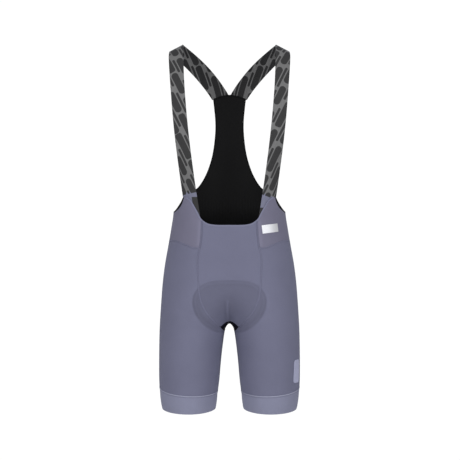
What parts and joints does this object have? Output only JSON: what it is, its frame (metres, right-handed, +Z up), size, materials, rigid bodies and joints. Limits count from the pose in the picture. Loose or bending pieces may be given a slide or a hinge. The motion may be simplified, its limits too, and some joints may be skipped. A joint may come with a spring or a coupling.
{
  "type": "cycling bib shorts",
  "caption": "Close-fitting cycling bib shorts in stretch cloth, filled out as worn, with elastic shoulder straps, a mesh back panel, a seat pad and gripper hems.",
  "frame": {"origin": "midway between the two straps, level with their tops, where the shoulders carry the garment", "axes": "+Z up, +X towards the wearer's left, -Y the front"},
  "size_m": [0.344, 0.2268, 0.8976],
  "materials": {
    "stretch_knit": "smooth matte stretch knit",
    "wing_knit": "fine stretch mesh, slightly warmer grey",
    "gripper_band": "smooth elastic band, lighter",
    "black_mesh": "fine black mesh, ribbed low down",
    "gusset_knit": "near-black knit",
    "pad_fleece": "brushed seat pad",
    "printed_elastic": "woven elastic with a two-tone grey pattern",
    "satin_tab": "silvery satin ribbon",
    "pale_print": "pale heat-pressed film"
  },
  "bodies": {
    "root": {"front_centre": "stretch_knit", "wing_left": "wing_knit", "wing_right": "wing_knit", "leg_left": "stretch_knit", "leg_right": "stretch_knit", "seat_left": "stretch_knit", "seat_right": "stretch_knit", "band_left": "gripper_band", "band_right": "gripper_band", "back_panel": "black_mesh", "crotch_gusset": "gusset_knit", "seat_pad": "pad_fleece", "strap_left": "printed_elastic", "strap_right": "printed_elastic", "wing_tab": "satin_tab", "leg_bar": "pale_print"}
  },
  "joints": []
}
